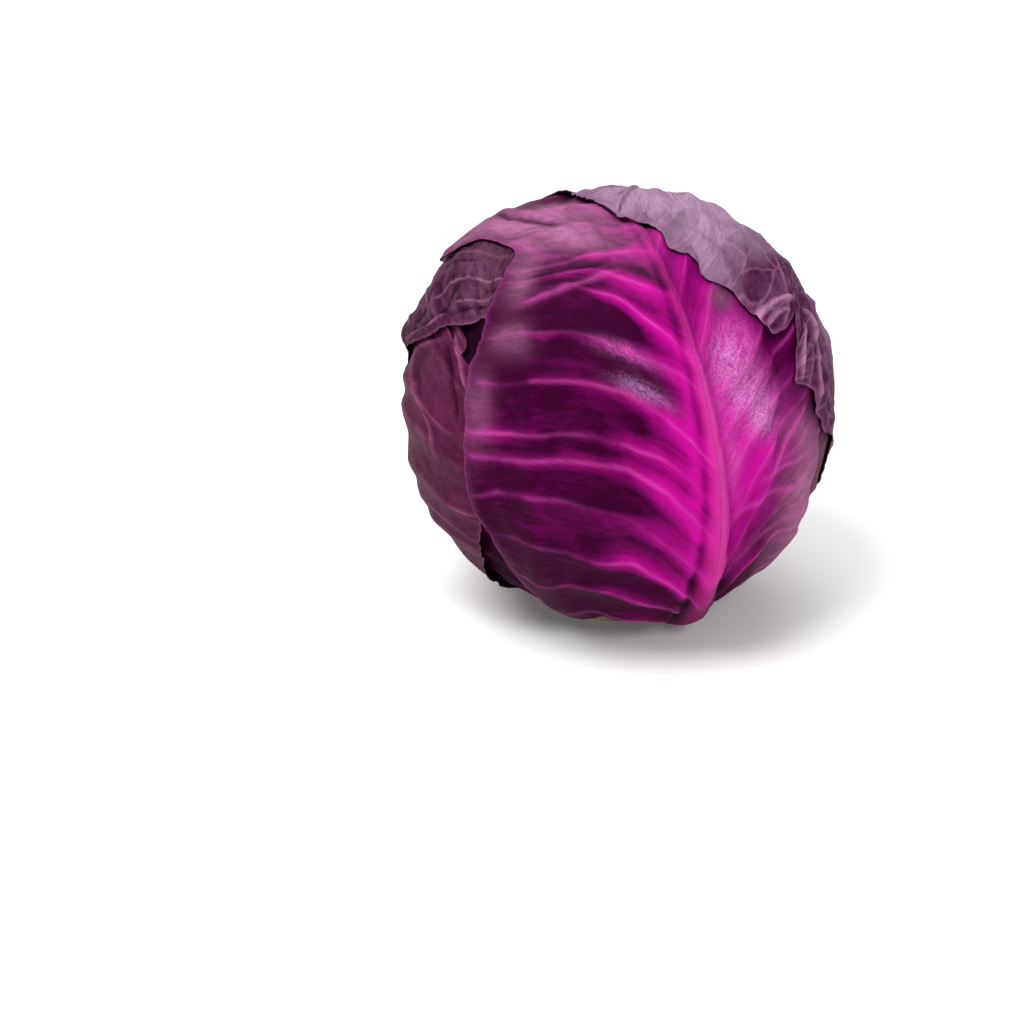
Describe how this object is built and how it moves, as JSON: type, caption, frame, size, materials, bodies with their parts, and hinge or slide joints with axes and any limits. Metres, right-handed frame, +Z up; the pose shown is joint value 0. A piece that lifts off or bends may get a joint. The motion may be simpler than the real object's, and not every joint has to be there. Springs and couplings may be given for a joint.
{
  "type": "cabbage head",
  "caption": "Whole red cabbage head: wrapper leaves with raised ribs, veins and waved edges, closed round a dense inner head on a cut stem.",
  "frame": {"origin": "centre of the stem's flat cut face, on which the head rests", "axes": "+Z up along the stem, towards the crown; -Y towards the side that the picture shows; +X to the right in that view"},
  "size_m": [0.1615, 0.1638, 0.1616],
  "materials": {
    "stem": "matt, fibrous, slightly browned cut",
    "inner_leaves": "waxy, matt",
    "leaf_covered": "waxy, satin",
    "leaf_dark": "waxy, satin, with pale veins",
    "leaf_wrinkled": "waxy and wrinkled, dusty bloom",
    "leaf_bright": "waxy, satin, with paler rib and veins",
    "leaf_bloomed": "dusty grey-lilac bloom, matt"
  },
  "bodies": {
    "root": {"cut_stem": "stem", "inner_head": "inner_leaves", "leaf_front_inner": "leaf_covered", "leaf_right": "leaf_dark", "leaf_left": "leaf_dark", "leaf_shoulder": "leaf_wrinkled", "leaf_front": "leaf_bright", "leaf_crown": "leaf_bloomed"}
  },
  "joints": []
}
